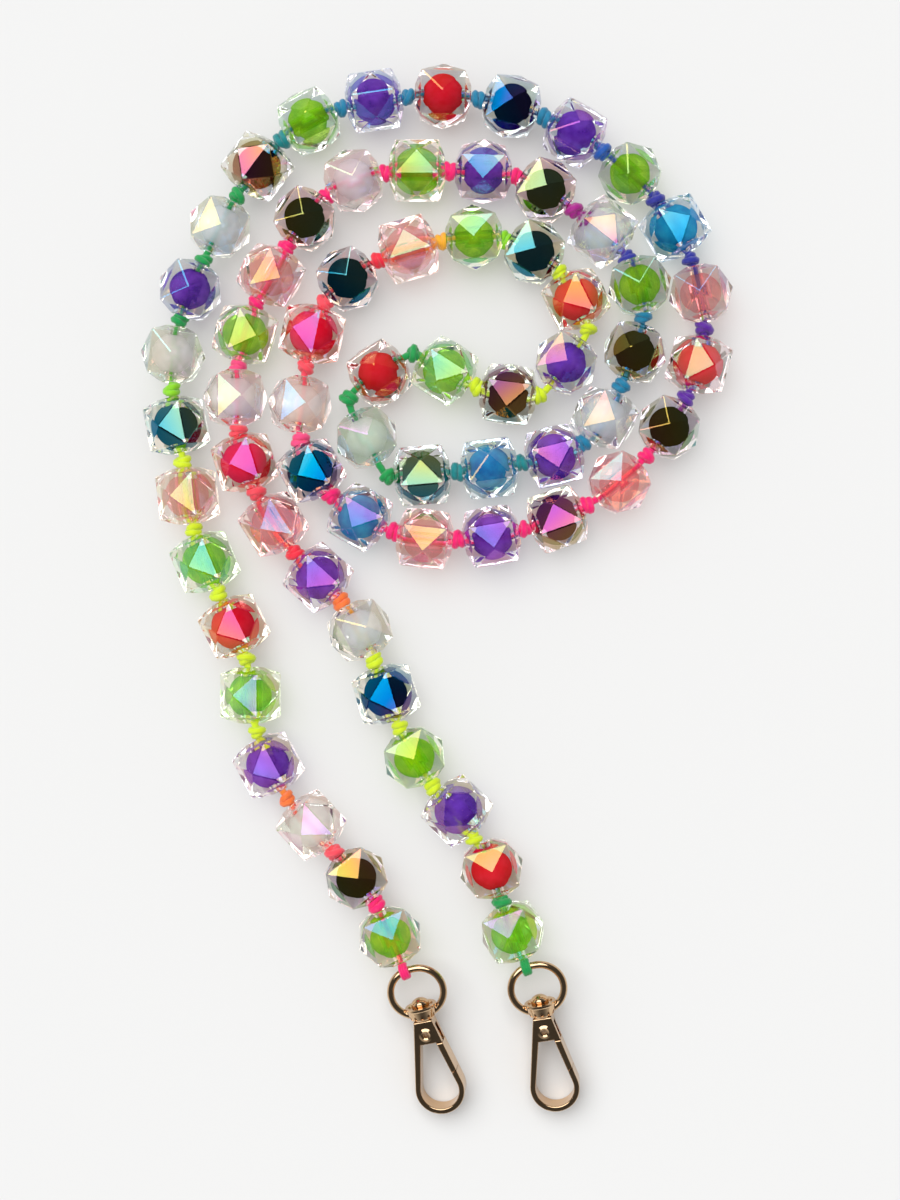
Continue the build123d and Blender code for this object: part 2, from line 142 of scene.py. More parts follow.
knots = lift(KNOTS)
first, last = TAIL_BEADS - 1, len(KNOTS) - TAIL_BEADS
strand_path = spline_path(control_points(KNOTS[first:last + 1]))
ends = {"left": lift([LEFT_LOOP], LOOP_HEIGHT)[0], "right": lift([RIGHT_LOOP], LOOP_HEIGHT)[0]}
tail_knots = {"left": knots[:TAIL_BEADS], "right": knots[:-TAIL_BEADS - 1:-1]}
upper_paths = {side: spline_path(tail_knots[side][::-1]) for side in ends}


def path_lengths(path):
    """Distance along a path to each of its points."""
    return np.concatenate([[0], np.cumsum(np.linalg.norm(np.diff(path, axis=0), axis=1))])


print("strand cord", round(path_lengths(strand_path)[-1], 4), "m in", len(strand_path), "points")

# %% [markdown]
# ## The dye
# The cord is dyed in bands that run into each other: pink, orange, yellow, green, blue, violet and back.
# Each knot is given the colour it shows, and the cord between two knots blends from one to the other.
# The colour is stored on the mesh as an attribute, so that it stays with the cord wherever it goes.

# %% The dye


def colour(code):
    """A web colour such as ff1470 as linear red, green and blue."""
    srgb = np.array([int(code[i:i + 2], 16) for i in (0, 2, 4)]) / 255
    return np.where(srgb <= 0.04045, srgb / 12.92, ((srgb + 0.055) / 1.055) ** 2.4)


HOT_PINK, PINK, CORAL, RED = (colour(c) for c in ("ff0f73", "ff4a86", "ff4b5c", "f7253f"))
ORANGE, AMBER, YELLOW, LIME = (colour(c) for c in ("ff7a35", "ffb428", "d8f018", "8fdc1e"))
GREEN, TEAL, AQUA, BLUE = (colour(c) for c in ("0a9e4c", "07868a", "0a7fa8", "1559b5"))
INDIGO, PURPLE, MAGENTA = (colour(c) for c in ("2b2f9e", "5b1fa0", "b01590"))
DYE_BANDS = [
    (HOT_PINK, 1), (CORAL, 1), (ORANGE, 1), (YELLOW, 5), (LIME, 1), (GREEN, 3), (TEAL, 1), (AQUA, 4),
    (BLUE, 1), (INDIGO, 2), (PURPLE, 2), (HOT_PINK, 6), (PINK, 1), (CORAL, 2), (RED, 1), (AMBER, 1),
    (LIME, 1), (YELLOW, 4), (GREEN, 3), (TEAL, 2), (AQUA, 3), (INDIGO, 1), (MAGENTA, 1), (HOT_PINK, 6),
    (PINK, 1), (CORAL, 2), (RED, 1), (ORANGE, 1), (YELLOW, 4), (GREEN, 1),
]
knot_dyes = np.concatenate([np.tile(dye, (count, 1)) for dye, count in DYE_BANDS])
print(len(knot_dyes), "knots dyed")


def nearest_lengths(path, places):
    """Distance along the path to its point nearest each place."""
    gaps = np.linalg.norm(path[None] - np.asarray(places)[:, None], axis=2)
    return path_lengths(path)[gaps.argmin(axis=1)]


def dye_along(path, places, dyes, lengths):
    """Colour at each length, blended between the colours given at places."""
    marks = nearest_lengths(path, places)
    order = np.argsort(marks)
    return np.column_stack([np.interp(lengths, marks[order], np.asarray(dyes)[order, c])
                            for c in range(3)])


# %% [markdown]
# ## Tubes along a path
# Cord, knots, lashings and spring wire are all one section carried along a path. At each ring of the
# tube the section's two directions are a sideways and an upward unit vector, kept level by taking the
# sideways one square to the path and to a fixed direction. The cord's section isn't round: its radius
# rises and falls three times round, and the pattern turns along the path, as in a three-ply twist.

# %% Tubes along a path
TUBE_SIDES = 12


def resample(path, step):
    """Points evenly spaced along a path, about one step apart, and their distances along it."""
    lengths = path_lengths(path)
    count = max(int(round(lengths[-1] / step)), 4)
    marks = np.linspace(0, lengths[-1], count + 1)
    return np.column_stack([np.interp(marks, lengths, path[:, c]) for c in range(3)]), marks


def tube_arrays(path, radius, sides=TUBE_SIDES, fixed=(0, 0, 1), plies=0, lay=4 * MM, relief=0.0):
    """Vertices, faces and UVs of a closed tube: centre + r (side cos a + up sin a), where
    r = radius (1 + relief cos(plies (a - 2 pi s / lay))) and s is the distance along the path."""
    ahead = np.gradient(path, axis=0)
    ahead /= np.linalg.norm(ahead, axis=1, keepdims=True)
    side = np.cross(ahead, fixed)
    side /= np.linalg.norm(side, axis=1, keepdims=True)
    up = np.cross(side, ahead)
    travelled = path_lengths(path)[:, None]
    angle = np.linspace(0, 2 * np.pi, sides, endpoint=False)[None]
    wave = 1 + relief * np.cos(plies * (angle - 2 * np.pi * travelled / lay))
    reach = (radius * wave)[..., None]
    rings = path[:, None] + reach * (side[:, None] * np.cos(angle)[..., None]
                                     + up[:, None] * np.sin(angle)[..., None])
    rows = len(path)
    points = np.concatenate([rings.reshape(-1, 3), path[:1], path[-1:]])
    ring, spoke = np.meshgrid(np.arange(rows - 1), np.arange(sides), indexing="ij")
    after = (spoke + 1) % sides
    walls = np.stack([ring * sides + spoke, ring * sides + after,
                      (ring + 1) * sides + after, (ring + 1) * sides + spoke], -1).reshape(-1, 4)
    around = np.arange(sides)
    start_cap = np.stack([np.full(sides, rows * sides), (around + 1) % sides, around], -1)
    top = (rows - 1) * sides
    end_cap = np.stack([np.full(sides, rows * sides + 1), top + around,
                        top + (around + 1) % sides], -1)
    along = travelled[:, 0] / lay
    wall_uv = np.stack([np.stack([along[ring], spoke / sides], -1),
                        np.stack([along[ring], (spoke + 1) / sides], -1),
                        np.stack([along[ring + 1], (spoke + 1) / sides], -1),
                        np.stack([along[ring + 1], spoke / sides], -1)], -2).reshape(-1, 4, 2)
    cap_uv = np.zeros((2 * sides, 3, 2))
    cap_uv[:sides, :, 0] = along[0]
    cap_uv[sides:, :, 0] = along[-1]
    return points, walls, np.concatenate([start_cap, end_cap]), wall_uv, cap_uv


def paint_points(mesh, name, colours):
    """Store a colour for each point of a mesh as an attribute."""
    layer = mesh.color_attributes.new(name, "FLOAT_COLOR", "POINT")
    values = np.column_stack([colours, np.ones(len(colours))])
    layer.data.foreach_set("color", values.astype(np.float32).ravel())


def make_mesh(name, points, quads, triangles, quad_uv=None, triangle_uv=None, dye=None):
    """Mesh object from arrays of points, four-sided and three-sided faces, UVs and a point colour."""
    mesh = bpy.data.meshes.new(name)
    corners = np.concatenate([quads.ravel(), triangles.ravel()]).astype(np.int32)
    sizes = np.concatenate([np.full(len(quads), 4), np.full(len(triangles), 3)])
    mesh.vertices.add(len(points))
    mesh.vertices.foreach_set("co", np.asarray(points, np.float32).ravel())
    mesh.loops.add(len(corners))
    mesh.loops.foreach_set("vertex_index", corners)
    mesh.polygons.add(len(sizes))
    starts = np.concatenate([[0], np.cumsum(sizes)[:-1]]).astype(np.int32)
    mesh.polygons.foreach_set("loop_start", starts)
    mesh.polygons.foreach_set("use_smooth", np.ones(len(sizes), bool))
    mesh.update(calc_edges=True)
    if quad_uv is not None:
        layer = mesh.uv_layers.new(name="lay")
        both = np.concatenate([quad_uv.reshape(-1, 2), triangle_uv.reshape(-1, 2)])
        layer.data.foreach_set("uv", both.astype(np.float32).ravel())
    if dye is not None:
        paint_points(mesh, "dye", dye)
    mesh.validate()
    piece = bpy.data.objects.new(name, mesh)
    collection.objects.link(piece)
    return piece


def finish_piece(piece, material, body, slot, *nodes):
    """Give a piece its finish and the body that it moves with, and hide the nodes that it stands for."""
    piece.data.materials.append(material)
    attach(piece, body)
    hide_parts(*nodes)
    return piece


# %% [markdown]
# ## Thread
# The cord is fine nylon thread with a soft sheen. A node group turns the UV map into fibres that run
# slantwise round the cord, and gives a height for the bump and a painted shade that darkens the grooves,
# where shadow falls. Cord, knots and lashings share the group, and each takes its own colour from the
# dye on its mesh.

# %% Thread
FUZZ_SCALE = 60
FUZZ_SHARE = 0.6
PAINTED_GROOVE_SHADE = 0.74
FIBRE_BUMP = {"Strength": 0.7, "Distance": 0.1 * MM}
# The Emission Strength here is a painted glow: the dye gives off a steady light of its own colour.
DYED_NYLON_AND_GLOW = {"Emission Strength": 0.14, "Roughness": 0.42, "Sheen Weight": 0.3, "Sheen Roughness": 0.4}


def group_sockets(group, outputs, inputs):
    """Make a node group's sockets, (name, kind, value) each, and return its ends."""
    for name, kind in outputs:
        group.interface.new_socket(name, in_out="OUTPUT", socket_type=kind)
    for name, kind, value in inputs:
        socket = group.interface.new_socket(name, in_out="INPUT", socket_type=kind)
        socket.default_value = value
    return group.nodes.new("NodeGroupInput"), group.nodes.new("NodeGroupOutput")


def node(tree, kind, **settings):
    """Add a node to a tree and set its properties."""
    made = tree.nodes.new(kind)
    for key, value in settings.items():
        setattr(made, key, value)
    return made


def set_inputs(made, values):
    """Set a node's sockets to constants, by name."""
    for name, value in values.items():
        made.inputs[name].default_value = value


def feed(tree, socket, value):
    """Give a socket a number, or link another node's output to it."""
    if isinstance(value, (int, float)):
        socket.default_value = value
    else:
        tree.links.new(value, socket)


def math_node(tree, operation, first_input, second_input=0.0):
    """A Math node with each input either a number or a socket. Returns its output."""
    made = node(tree, "ShaderNodeMath", operation=operation)
    feed(tree, made.inputs[0], first_input)
    feed(tree, made.inputs[1], second_input)
    return made.outputs[0]


def make_thread_group():
    """Fibres: the sine of (fibres v + turns u), roughened by fine noise. Shade is painted shade, darker in
    the grooves.
    """
    group = bpy.data.node_groups.new("thread", "ShaderNodeTree")
    begin, end = group_sockets(
        group, [("Height", "NodeSocketFloat"), ("Shade", "NodeSocketFloat")],
        [("Fibres", "NodeSocketFloat", 12.0), ("Turns", "NodeSocketFloat", 6.0)])
    place = node(group, "ShaderNodeUVMap", uv_map="lay")
    split = node(group, "ShaderNodeSeparateXYZ")
    group.links.new(place.outputs[0], split.inputs[0])
    across = math_node(group, "MULTIPLY", split.outputs[1], begin.outputs["Fibres"])
    along = math_node(group, "MULTIPLY", split.outputs[0], begin.outputs["Turns"])
    phase = math_node(group, "MULTIPLY", math_node(group, "ADD", across, along), 2 * np.pi)
    ridge = math_node(group, "ABSOLUTE", math_node(group, "SINE", phase))
    fuzz = node(group, "ShaderNodeTexNoise")
    set_inputs(fuzz, {"Scale": FUZZ_SCALE})
    group.links.new(place.outputs[0], fuzz.inputs["Vector"])
    height = math_node(group, "ADD", ridge, math_node(group, "MULTIPLY", fuzz.outputs[0], FUZZ_SHARE))
    group.links.new(height, end.inputs["Height"])
    # Painted shade: the colour is darkened in the grooves between fibres, where shadow falls.
    shade = node(group, "ShaderNodeMapRange")
    set_inputs(shade, {"To Min": PAINTED_GROOVE_SHADE, "To Max": 1.0})
    group.links.new(ridge, shade.inputs["Value"])
    group.links.new(shade.outputs[0], end.inputs["Shade"])
    return group


def new_material(name):
    """A material with one Principled shader, and that shader."""
    material = bpy.data.materials.new(name)
    material.use_nodes = True
    return material, material.node_tree, material.node_tree.nodes["Principled BSDF"]


def make_cord_material(thread):
    """Dyed nylon with a soft sheen, the dye darkened by painted shade in the grooves between fibres. The dye
    is a bright fluorescent one; the steady light it gives off here is a painted glow, the same lit or unlit."""
    material, tree, shader = new_material("dyed_cord")
    fibres = node(tree, "ShaderNodeGroup", node_tree=thread)
    dye = node(tree, "ShaderNodeVertexColor", layer_name="dye")
    # The dye times the painted groove shade, used for both the colour and the glow.
    dye_in_painted_shade = node(tree, "ShaderNodeVectorMath", operation="SCALE")
    tree.links.new(dye.outputs["Color"], dye_in_painted_shade.inputs[0])
    tree.links.new(fibres.outputs["Shade"], dye_in_painted_shade.inputs["Scale"])
    tree.links.new(dye_in_painted_shade.outputs[0], shader.inputs["Base Color"])
    # Painted glow in the dye's colour, with the painted groove shade in it.
    tree.links.new(dye_in_painted_shade.outputs[0], shader.inputs["Emission Color"])
    bump = node(tree, "ShaderNodeBump")
    set_inputs(bump, FIBRE_BUMP)
    tree.links.new(fibres.outputs["Height"], bump.inputs["Height"])
    tree.links.new(bump.outputs[0], shader.inputs["Normal"])
    set_inputs(shader, DYED_NYLON_AND_GLOW)
    return material


cord_material = make_cord_material(make_thread_group())
print("cord material has", len(cord_material.node_tree.nodes), "nodes")

# %% [markdown]
# ## The cord
# One long cord runs through the coils, and each tail has a short length of its own that swings at the
# knot where it leaves them. The last length, from the tail's lower knot to the ring, lifts at that knot.

# %% The cord
CORD_STEP = 0.45 * MM
CORD_END_GAP = 1.25 * MM
LOWER_RINGS = 30
TWIST = dict(plies=3, lay=4.2 * MM)


def make_cord(name, path, places, dyes, body, *nodes):
    """A twisted cord along a path. Returns the piece and the path that it follows."""
    even, lengths = resample(path, CORD_STEP)
    arrays = tube_arrays(even, CORD_R, relief=0.09, **TWIST)
    shades = dye_along(path, places, dyes, lengths)
    dye = np.concatenate([np.repeat(shades, TUBE_SIDES, axis=0), shades[:1], shades[-1:]])
    piece = make_mesh(name, *arrays, dye=dye)
    return finish_piece(piece, cord_material, body, "cord", *nodes), even


strand, followed = make_cord("strand_twisted_cord", strand_path, knots[first:last + 1],
                             knot_dyes[first:last + 1], "strand", "strand_cord")
print("strand cord", len(strand.data.polygons), "faces")

tail_dyes = {"left": knot_dyes[:TAIL_BEADS], "right": knot_dyes[:-TAIL_BEADS - 1:-1]}
end_dyes = {"left": [ORANGE, HOT_PINK], "right": [LIME, GREEN]}
for side, upper in upper_paths.items():
    piece, followed = make_cord(f"{side}_upper_twisted_cord", upper, tail_knots[side], tail_dyes[side],
                                f"{side}_tail_upper", f"{side}_upper_cord")
    start, loop = tail_knots[side][0], ends[side]
    stop = loop + (start - loop) / np.linalg.norm(start - loop) * CORD_END_GAP
    lower = np.linspace(start, stop, LOWER_RINGS)
    make_cord(f"{side}_lower_twisted_cord", lower, [start, (start + stop) / 2, stop],
              [tail_dyes[side][0], *end_dyes[side]], f"{side}_tail_lower", f"{side}_lower_cord")

# %% [markdown]
# ## The knots
# An overhand knot pulled tight is a little barrel of two turns that cross each other, one over and one
# under, with the cord through the middle. The turns are a path in cylinder form: it goes twice round
# while it runs along the cord and back, and dips under itself where the two turns cross.

# %% The knots
KNOT_TURN_R = 1.3 * MM
KNOT_DIP = 0.3 * MM
KNOT_HALF_WIDTH = 0.82 * MM
KNOT_CORD_R = 0.88 * MM
KNOT_LEAD = 0.35 * np.pi
KNOT_TUCK = 0.35
KNOT_LEAN = 0.25
KNOT_SIZES = (0.94, 1.08)
KNOT_RINGS = 44
KNOT_SIDES = 10
chance = np.random.default_rng(seed=11)


def knot_path():
    """Two crossing turns: x = -w cos(f / 2), distance from the axis = r - d sin(f / 2), f from 0 to
    4 pi and a little lead at each end, where the cord is tucked in towards the axis."""
    start, stop = -KNOT_LEAD, 4 * np.pi + KNOT_LEAD
    turn = np.linspace(start, stop, KNOT_RINGS)
    out = np.clip(np.minimum(turn - start, stop - turn) / (2 * KNOT_LEAD), 0, 1)
    away = (KNOT_TURN_R - KNOT_DIP * np.sin(turn / 2)) * (KNOT_TUCK + (1 - KNOT_TUCK) * out)
    forward = -KNOT_HALF_WIDTH * np.cos(turn / 2)
    return np.column_stack([forward, away * np.cos(turn), away * np.sin(turn)])


def knot_tube():
    """Arrays of one knot round the X axis."""
    return tube_arrays(knot_path(), KNOT_CORD_R, sides=KNOT_SIDES, fixed=(1, 0, 0), relief=0.08, **TWIST)


def path_directions(path, places):
    """The path's point nearest each place, and the unit direction of the path there."""
    gaps = np.linalg.norm(path[None] - np.asarray(places)[:, None], axis=2)
    index = np.clip(gaps.argmin(axis=1), 1, len(path) - 2)
    ahead = path[index + 1] - path[index - 1]
    return path[gaps.argmin(axis=1)], ahead / np.linalg.norm(ahead, axis=1, keepdims=True)


def make_knots(name, path, places, dyes, body, *nodes):
    """Knots at the points of a path nearest the places, each turned and sized a little differently."""
    centres, ahead = path_directions(path, places)
    side = np.cross(ahead, (0, 0, 1))
    side /= np.linalg.norm(side, axis=1, keepdims=True)
    up = np.cross(side, ahead)
    count = len(centres)
    angle = chance.uniform(0, 2 * np.pi, count)[:, None]
    lean = chance.uniform(-KNOT_LEAN, KNOT_LEAN, count)[:, None]
    second = side * np.cos(angle) + up * np.sin(angle)
    third = np.cross(ahead, second)
    tipped = ahead * np.cos(lean) + third * np.sin(lean)
    third = np.cross(tipped, second)
    scale = chance.uniform(*KNOT_SIZES, count)[:, None, None]
    points, quads, caps, quad_uv, cap_uv = knot_tube()
    frames = np.stack([tipped, second, third], axis=1)
    placed = centres[:, None] + np.einsum("pk,nkc->npc", points, frames) * scale
    shift = (np.arange(count) * len(points))[:, None, None]
    dye = np.repeat(np.asarray(dyes), len(points), axis=0)
    piece = make_mesh(name, placed.reshape(-1, 3), (quads[None] + shift).reshape(-1, 4),
                      (caps[None] + shift).reshape(-1, 3), np.tile(quad_uv, (count, 1, 1)),
                      np.tile(cap_uv, (count, 1, 1)), dye)
    return finish_piece(piece, cord_material, body, "cord", *nodes)


strand_tied = make_knots("strand_tied_knots", strand_path, knots[first:last + 1],
                         knot_dyes[first:last + 1], "strand", "strand_knots")
for side, upper in upper_paths.items():
    make_knots(f"{side}_tied_knots", upper, tail_knots[side][:2], tail_dyes[side][:2],
               f"{side}_tail_upper", f"{side}_upper_knots")
print("knots", len(strand_tied.data.polygons), "faces")

# %% [markdown]
# ## Where the beads sit
# Every bead is centred on the run between two knots, with its bore along it. It has rolled until it
# rests on a ridge or a point, so its height follows from its roll. The three directions of a bead are
# the way along the cord, a sideways one, and the one to the ridge point that is turned by the roll.

# %% Where the beads sit
CUBE = 10.8 * MM
PYRAMID = CUBE / 4
APEX_REACH = CUBE / 2 + PYRAMID
EDGE_REACH = CUBE / 2 * 2 ** 0.5
BEAD_LENGTH = 13.8 * MM
BORE_R = 1.5 * MM
MOUTH_R = 2.3 * MM
MOUTH_DEPTH = 1.0 * MM
CORE_R = 4.15 * MM
END_BEAD_SHIFT = BEAD_LENGTH / 2 + 2.3 * MM
BEADS = [
    ("green", 8), ("black", 8), ("white", -21), ("purple", -29), ("green", -28), ("red", -31),
    ("green", -27), ("pink", -28), ("black", -28), ("white", 2), ("purple", 3), ("white", 8),
    ("black", 45), ("green", -7), ("purple", 40), ("red", 0), ("black", -3), ("purple", -12),
    ("green", 12), ("blue", -28), ("pink", 8), ("red", -25), ("black", 5), ("pink", 0),
    ("black", 26), ("purple", -24), ("pink", -24), ("blue", -25), ("black", -25), ("white", 14),
    ("red", -34), ("black", 0), ("pink", -30), ("green", 6), ("black", 0), ("red", 28),
    ("purple", 0), ("black", -26), ("green", -29), ("red", 15), ("white", -5), ("black", -25),
    ("blue", -22), ("purple", 26), ("white", 18), ("black", -12), ("green", -4), ("white", 35),
    ("black", 0), ("purple", -22), ("green", 30), ("white", 0), ("black", 0), ("pink", -26),
    ("green", -28), ("white", -15), ("red", 24), ("pink", 22), ("purple", 27), ("white", -15),
    ("black", 31), ("green", 0), ("purple", 33), ("red", 0), ("green", 10),
]
COLOURS = sorted({name for name, roll in BEADS})


def bead_frames():
    """Centres, and the three unit directions as rows, of all the beads."""
    plan = np.array([LEFT_LOOP, *KNOTS, RIGHT_LOOP], float) * MM
    run = plan[1:] - plan[:-1]
    run /= np.linalg.norm(run, axis=1, keepdims=True)
    middle = (plan[1:] + plan[:-1]) / 2
    middle[0] = plan[0] + run[0] * END_BEAD_SHIFT
    middle[-1] = plan[-1] - run[-1] * END_BEAD_SHIFT
    roll = np.array([roll for name, roll in BEADS], float)
    from_apex = (roll + 45) % 90 - 45
    height = np.maximum(APEX_REACH * np.cos(np.radians(from_apex)),
                        EDGE_REACH * np.cos(np.radians(45 - np.abs(from_apex))))
    along = np.column_stack([run, np.zeros(len(run))])
    right = np.column_stack([run[:, 1], -run[:, 0], np.zeros(len(run))])
    turn = np.radians(roll)[:, None]
    up = np.array([0, 0, 1]) * np.cos(turn) + right * np.sin(turn)
    return np.column_stack([middle, height]), np.stack([along, np.cross(up, along), up], axis=1)


bead_centres, bead_axes = bead_frames()
print(len(bead_centres), "beads, lowest axis", round(float(bead_centres[:, 2].min()) / MM, 2), "mm")

# %% [markdown]
# ## One clear bead
# The bead is a cube with a low four-sided pyramid on each face, its two strung ends cut off flat, and a
# bore right through with a flared mouth at each end. It has few corners, so they are written from its
# sizes. The outer edges are then rounded a little, because a moulded bead has no sharp edge, and those
# narrow rounded strips are what catch the light as bright lines.

# %% One clear bead
BORE_SIDES = 16
EDGE_ROUND = 0.22 * MM
QUARTERS = [(-1, -1), (1, -1), (1, 1), (-1, 1)]


def bead_outline():
    """Corners and faces of the sharp-edged bead, and how many of the corners are outside ones."""
    half, end = CUBE / 2, BEAD_LENGTH / 2
    square = half * (APEX_REACH - end) / PYRAMID
    corners = [(sign * half, half * y, half * z) for sign in (-1, 1) for y, z in QUARTERS]
    rims = [(sign * end, square * y, square * z) for sign in (-1, 1) for y, z in QUARTERS]
    apexes = [(0, 0, -APEX_REACH), (0, APEX_REACH, 0), (0, 0, APEX_REACH), (0, -APEX_REACH, 0)]
    faces = []
    for quarter in range(4):
        after = (quarter + 1) % 4
        ring = [quarter, after, 4 + after, 4 + quarter]
        faces += [[ring[i], ring[(i + 1) % 4], 16 + quarter] for i in range(4)]
        faces += [[after, quarter, 8 + quarter, 8 + after]]
        faces += [[4 + quarter, 4 + after, 12 + after, 12 + quarter]]
    points = corners + rims + apexes
    outside = len(points)
    # The first spoke points at the first corner, three eighths of a turn back.
    spokes = 2 * np.pi * (np.arange(BORE_SIDES) / BORE_SIDES - 0.375)
    stations = [(-end, MOUTH_R), (-end + MOUTH_DEPTH, BORE_R), (end - MOUTH_DEPTH, BORE_R), (end, MOUTH_R)]
    for place, radius in stations:
        points += [(place, radius * np.cos(a), radius * np.sin(a)) for a in spokes]
    part = BORE_SIDES // 4
    for station in range(3):
        low, high = outside + station * BORE_SIDES, outside + (station + 1) * BORE_SIDES
        faces += [[low + i, low + (i + 1) % BORE_SIDES, high + (i + 1) % BORE_SIDES, high + i]
                  for i in range(BORE_SIDES)]
    top = outside + 3 * BORE_SIDES
    for quarter in range(4):
        arc = [(quarter * part + step) % BORE_SIDES for step in range(part + 1)]
        faces.append([8 + quarter, *[outside + i for i in arc], 8 + (quarter + 1) % 4])
        faces.append([12 + (quarter + 1) % 4, *[top + i for i in arc[::-1]], 12 + quarter])
    return points, faces, outside


def make_bead_template():
    """The bead with its outside edges rounded: points, triangles, and which faces are facets."""
    points, faces, outside = bead_outline()
    mesh = bmesh.new()
    corners = [mesh.verts.new(point) for point in points]
    for face in faces:
        mesh.faces.new([corners[i] for i in face])
    mesh.normal_update()
    bmesh.ops.recalc_face_normals(mesh, faces=mesh.faces)
    mesh.verts.index_update()
    rims = range(8, 16)
    edges = [edge for edge in mesh.edges
             if all(vert.index < outside for vert in edge.verts)
             and not all(vert.index in rims for vert in edge.verts)]
    bmesh.ops.bevel(mesh, geom=edges, offset=EDGE_ROUND, segments=2, profile=0.5, affect="EDGES",
                    clamp_overlap=False)
    bmesh.ops.triangulate(mesh, faces=mesh.faces)
    mesh.verts.index_update()
    places = np.array([vert.co for vert in mesh.verts])
    triangles = np.array([[vert.index for vert in face.verts] for face in mesh.faces])
    volume = mesh.calc_volume(signed=True)
    mesh.free()
    return places, triangles, volume


shell_points, shell_triangles, shell_volume = make_bead_template()
print("bead template", len(shell_triangles), "triangles,", round(shell_volume * 1e9), "mm3")

# %% [markdown]
# ## The coloured ball
# The ball inside is bored with the bead. It is a profile turned round the cord: an arc outside and a
# straight line along the bore, joined at both ends, so the surface has no open edge.

# %% The coloured ball
BALL_RINGS = 20
BALL_SIDES = 28


def make_core_template():
    """Turned profile: x = R cos t, distance = R sin t on the arc, and the bore's radius inside."""
    start = np.arcsin(BORE_R / CORE_R)
    arc = np.linspace(start, np.pi - start, BALL_RINGS)
    profile = np.column_stack([CORE_R * np.cos(arc), CORE_R * np.sin(arc)])
    angle = np.linspace(0, 2 * np.pi, BALL_SIDES, endpoint=False)
    points = np.stack([np.repeat(profile[:, :1], BALL_SIDES, axis=1),
                       profile[:, 1:] * np.cos(angle), profile[:, 1:] * np.sin(angle)], -1)
    ring, spoke = np.meshgrid(np.arange(BALL_RINGS), np.arange(BALL_SIDES), indexing="ij")
    after, following = (spoke + 1) % BALL_SIDES, (ring + 1) % BALL_RINGS
    quads = np.stack([ring * BALL_SIDES + spoke, following * BALL_SIDES + spoke,
                      following * BALL_SIDES + after, ring * BALL_SIDES + after], -1)
    return points.reshape(-1, 3), quads.reshape(-1, 4)


core_points, core_quads = make_core_template()
print("ball template", len(core_quads), "faces")

# %% [markdown]
# ## Clear acrylic with a rainbow film
# A thin coating on the bead reflects some colours and lets the others through, and which ones depends on
# its thickness and the angle of view. The Principled shader works that out from a film thickness in
# nanometres. The thickness drifts across each bead, so it is stored on the mesh as an attribute. Each
# bead also gets a faint painted light of the cord's dye colour, as if light from the cord spread through
# it, which is stored there too. Light on its way to the floor passes straight through, as real acrylic
# lets most of it, so the shadows stay pale.

# %% Clear acrylic with a rainbow film
FILM_MIDDLE = 215.0
FILM_SPREAD = 50.0
FILM_DRIFT = 22.0
# Films by bead, in nanometres at the strong film's index: blue about 155, green 180, yellow 200,
# orange 212, magenta 238. A film of a lower index is thicker for the same colour. A bead that has none
# here takes one by chance, within FILM_SPREAD of FILM_MIDDLE.
FILMS = {
    0: 160, 1: 203, 3: 236, 5: 238, 6: 155, 7: 198, 8: 180, 10: 165, 12: 214, 13: 185, 14: 156, 15: 204,
    16: 152, 17: 236, 18: 186, 19: 158, 20: 150, 21: 200, 22: 203, 23: 156, 24: 240, 25: 238, 26: 198,
    27: 240, 28: 150, 29: 152, 30: 240, 31: 158, 32: 200, 33: 172, 34: 184, 35: 206, 36: 236, 37: 120,
    38: 185, 39: 190, 41: 181, 42: 196, 43: 238, 44: 200, 45: 214, 46: 178, 48: 208, 49: 168, 50: 182,
    52: 207, 53: 214, 54: 176, 55: 198, 56: 238, 57: 150, 58: 240, 60: 154, 61: 184, 62: 238, 63: 205,
}
STRONG_FILM = 2.2
FAINT_FILM = 1.95
FILM_INDEX = {"black": STRONG_FILM}
ACRYLIC = {"Transmission Weight": 1.0, "Roughness": 0.045, "IOR": 1.49}
TURNS_INSIDE = 4.5
PAINTED_CORD_LIGHT_SHARE = 0.17
CLEARS = {"black": ("fffdfb", "f4f3f2"), "blue": ("fbfeff", "eef4f5"), "green": ("fcfff6", "f3f5ec"),
          "pink": ("fff2ee", "f7efed"), "purple": ("fffaff", "f2f0f4"), "red": ("fff3ee", "f6f0ee"),
          "white": ("fffcf8", "f6f6f4")}


def make_film_group():
    """The film's thickness and the bead's painted light from the cord, both from the mesh. Colour: the Clear
    colour multiplied by that painted light.
    """
    group = bpy.data.node_groups.new("film", "ShaderNodeTree")
    begin, end = group_sockets(
        group, [("Color", "NodeSocketColor"), ("Thickness", "NodeSocketFloat")],
        [("Clear", "NodeSocketColor", (1, 1, 1, 1))])
    film = node(group, "ShaderNodeAttribute", attribute_name="film")
    painted_cord_light = node(group, "ShaderNodeVertexColor", layer_name="painted_cord_light")
    mixed = node(group, "ShaderNodeMix", data_type="RGBA", blend_type="MULTIPLY")
    set_inputs(mixed, {"Factor": 1.0})
    group.links.new(begin.outputs["Clear"], mixed.inputs["A"])
    group.links.new(painted_cord_light.outputs["Color"], mixed.inputs["B"])
    group.links.new(mixed.outputs["Result"], end.inputs["Color"])
    group.links.new(film.outputs["Fac"], end.inputs["Thickness"])
    return group


def unseen_rays(tree, path):
    """1 for shadow rays and for light on its way between dull surfaces, otherwise 0."""
    return math_node(tree, "MAXIMUM", path.outputs["Is Shadow Ray"], path.outputs["Is Diffuse Ray"])


def mix_surface(tree, share, first_shader, second_shader):
    """Join two shaders to the material's surface, with that share of the second."""
    mix = node(tree, "ShaderNodeMixShader")
    feed(tree, mix.inputs[0], share)
    tree.links.new(first_shader.outputs[0], mix.inputs[1])
    tree.links.new(second_shader.outputs[0], mix.inputs[2])
    tree.links.new(mix.outputs[0], tree.nodes["Material Output"].inputs["Surface"])


